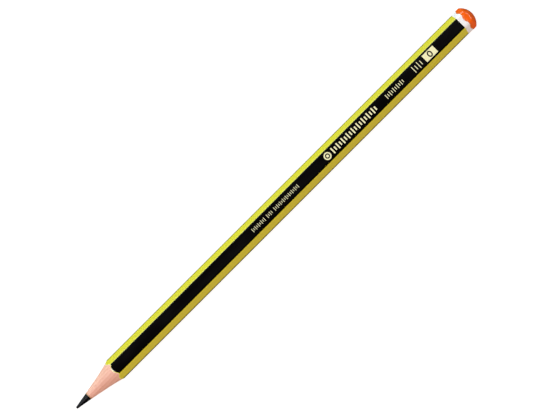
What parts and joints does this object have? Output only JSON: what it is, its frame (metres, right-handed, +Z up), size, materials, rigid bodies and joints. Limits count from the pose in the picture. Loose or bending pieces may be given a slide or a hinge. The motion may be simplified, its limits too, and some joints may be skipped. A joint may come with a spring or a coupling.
{
  "type": "graphite pencil",
  "caption": "Sharpened hexagonal wood-cased graphite pencil with yellow and black striped lacquer, cream foil marks, a white ring and a rounded orange dipped end.",
  "frame": {"origin": "on the surface that the pencil lies on, below the middle of its length and width", "axes": "+X runs along the pencil from the point towards the dipped end, +Z is up, out of the foil-stamped black side, and +Y is across the pencil"},
  "size_m": [0.175, 0.0082, 0.0074],
  "materials": {
    "graphite": "fired graphite and clay, smooth from the blade, with a dull metallic shine",
    "glue": "thin dried wood glue",
    "wood": "pinkish cedar-like wood, cut clean by a sharpener, unvarnished",
    "primer": "pale matt undercoat",
    "yellow_lacquer": "glossy yellow lacquer",
    "black_lacquer": "glossy black lacquer",
    "white_dip_lacquer": "thick glossy white dip lacquer",
    "orange_dip_lacquer": "thick glossy orange dip lacquer",
    "cream_foil": "hot-stamped pale cream pigment foil"
  },
  "bodies": {
    "root": {"graphite_lead": "graphite", "glue_film": "glue", "upper_slat": "wood", "lower_slat": "wood", "primer_coat": "primer", "yellow_coat": "yellow_lacquer", "upper_stripe": "black_lacquer", "lower_stripe": "black_lacquer", "left_corner_line": "black_lacquer", "right_corner_line": "black_lacquer", "white_dip": "white_dip_lacquer", "orange_dip": "orange_dip_lacquer", "foil_strip_small": "cream_foil", "foil_strip_bold": "cream_foil", "foil_strip_series": "cream_foil", "foil_strip_grade": "cream_foil", "foil_panel": "cream_foil", "foil_dot": "cream_foil"}
  },
  "joints": []
}
